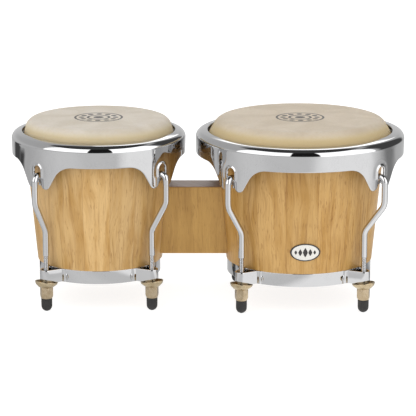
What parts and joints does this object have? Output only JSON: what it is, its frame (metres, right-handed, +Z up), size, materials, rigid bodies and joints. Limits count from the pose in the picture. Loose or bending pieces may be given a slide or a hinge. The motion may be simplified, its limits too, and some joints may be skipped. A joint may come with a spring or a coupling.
{
  "type": "bongo drums",
  "caption": "Pair of wooden bongo drums, small and large, joined by a block, with chromed crown rims, hooked tuning rods, lug nuts and rubber-tipped feet.",
  "frame": {"origin": "floor level under the middle of the overall width and depth", "axes": "+X from the small drum to the large drum, +Z up towards the heads, -Y towards the player"},
  "size_m": [0.4718, 0.2508, 0.2228],
  "materials": {
    "shell_wood": "satin lacquer",
    "block_wood": "satin lacquer",
    "backing_wood": "bare",
    "drumhead": "rawhide, matt",
    "chromed_steel": "polished",
    "hidden_steel": "plain wire",
    "fastener_steel": "zinc plated",
    "nut_metal": "yellow passivated steel look, worn",
    "washer_metal": "yellow passivated steel look",
    "black_rubber": "matt",
    "badge_metal": "satin with dark border"
  },
  "bodies": {
    "drum_pair": {"centre_block": "block_wood", "block_threaded_inserts": "fastener_steel", "hembra_badge": "badge_metal", "macho_shell": "shell_wood", "macho_head": "drumhead", "macho_bottom_hoop": "chromed_steel", "macho_lug_loops": "chromed_steel", "macho_lug_washers": "washer_metal", "macho_backing_block": "backing_wood", "macho_block_bolts": "fastener_steel", "hembra_shell": "shell_wood", "hembra_head": "drumhead", "hembra_bottom_hoop": "chromed_steel", "hembra_lug_loops": "chromed_steel", "hembra_lug_washers": "washer_metal", "hembra_backing_block": "backing_wood", "hembra_block_bolts": "fastener_steel"},
    "macho_tension": {"macho_rim": "chromed_steel", "macho_flesh_hoop": "hidden_steel", "macho_tuning_rod_1": "chromed_steel", "macho_tuning_rod_2": "chromed_steel", "macho_tuning_rod_3": "chromed_steel", "macho_tuning_rod_4": "chromed_steel"},
    "macho_nut_1": {"macho_tuning_nut_1": "nut_metal", "macho_rubber_tip_1": "black_rubber"},
    "macho_nut_2": {"macho_tuning_nut_2": "nut_metal", "macho_rubber_tip_2": "black_rubber"},
    "macho_nut_3": {"macho_tuning_nut_3": "nut_metal", "macho_rubber_tip_3": "black_rubber"},
    "macho_nut_4": {"macho_tuning_nut_4": "nut_metal", "macho_rubber_tip_4": "black_rubber"},
    "hembra_tension": {"hembra_rim": "chromed_steel", "hembra_flesh_hoop": "hidden_steel", "hembra_tuning_rod_1": "chromed_steel", "hembra_tuning_rod_2": "chromed_steel", "hembra_tuning_rod_3": "chromed_steel", "hembra_tuning_rod_4": "chromed_steel"},
    "hembra_nut_1": {"hembra_tuning_nut_1": "nut_metal", "hembra_rubber_tip_1": "black_rubber"},
    "hembra_nut_2": {"hembra_tuning_nut_2": "nut_metal", "hembra_rubber_tip_2": "black_rubber"},
    "hembra_nut_3": {"hembra_tuning_nut_3": "nut_metal", "hembra_rubber_tip_3": "black_rubber"},
    "hembra_nut_4": {"hembra_tuning_nut_4": "nut_metal", "hembra_rubber_tip_4": "black_rubber"}
  },
  "joints": [
    {"name": "macho_tension_slide", "type": "slide", "parent": "drum_pair", "child": "macho_tension", "axis": [0, 0, 1], "range_m": [-0.004, 0.003], "deforming": ["macho_head"]},
    {"name": "macho_nut_1_turn", "type": "hinge", "parent": "drum_pair", "child": "macho_nut_1", "pos_m": [-0.06694, -0.06117, 0.0225], "axis": [0, 0, 1], "range_deg": [-1195, 1592]},
    {"name": "macho_nut_2_turn", "type": "hinge", "parent": "drum_pair", "child": "macho_nut_2", "pos_m": [-0.07028, 0.06451, 0.0225], "axis": [0, 0, 1], "range_deg": [-1195, 1592]},
    {"name": "macho_nut_3_turn", "type": "hinge", "parent": "drum_pair", "child": "macho_nut_3", "pos_m": [-0.19596, 0.06117, 0.0225], "axis": [0, 0, 1], "range_deg": [-1195, 1592]},
    {"name": "macho_nut_4_turn", "type": "hinge", "parent": "drum_pair", "child": "macho_nut_4", "pos_m": [-0.19262, -0.06451, 0.0225], "axis": [0, 0, 1], "range_deg": [-1195, 1592]},
    {"name": "hembra_tension_slide", "type": "slide", "parent": "drum_pair", "child": "hembra_tension", "axis": [0, 0, 1], "range_m": [-0.004, 0.003], "deforming": ["hembra_head"]},
    {"name": "hembra_nut_1_turn", "type": "hinge", "parent": "drum_pair", "child": "hembra_nut_1", "pos_m": [0.18496, -0.07078, 0.0225], "axis": [0, 0, 1], "range_deg": [-1195, 1592]},
    {"name": "hembra_nut_2_turn", "type": "hinge", "parent": "drum_pair", "child": "hembra_nut_2", "pos_m": [0.18133, 0.07441, 0.0225], "axis": [0, 0, 1], "range_deg": [-1195, 1592]},
    {"name": "hembra_nut_3_turn", "type": "hinge", "parent": "drum_pair", "child": "hembra_nut_3", "pos_m": [0.03614, 0.07078, 0.0225], "axis": [0, 0, 1], "range_deg": [-1195, 1592]},
    {"name": "hembra_nut_4_turn", "type": "hinge", "parent": "drum_pair", "child": "hembra_nut_4", "pos_m": [0.03977, -0.07441, 0.0225], "axis": [0, 0, 1], "range_deg": [-1195, 1592]}
  ],
  "couplings": [
    {"joint": "macho_nut_1_turn", "follows": "macho_tension_slide", "rad_per_m": -6927.4},
    {"joint": "macho_nut_2_turn", "follows": "macho_tension_slide", "rad_per_m": -6927.4},
    {"joint": "macho_nut_3_turn", "follows": "macho_tension_slide", "rad_per_m": -6927.4},
    {"joint": "macho_nut_4_turn", "follows": "macho_tension_slide", "rad_per_m": -6927.4},
    {"joint": "hembra_nut_1_turn", "follows": "hembra_tension_slide", "rad_per_m": -6927.4},
    {"joint": "hembra_nut_2_turn", "follows": "hembra_tension_slide", "rad_per_m": -6927.4},
    {"joint": "hembra_nut_3_turn", "follows": "hembra_tension_slide", "rad_per_m": -6927.4},
    {"joint": "hembra_nut_4_turn", "follows": "hembra_tension_slide", "rad_per_m": -6927.4}
  ]
}
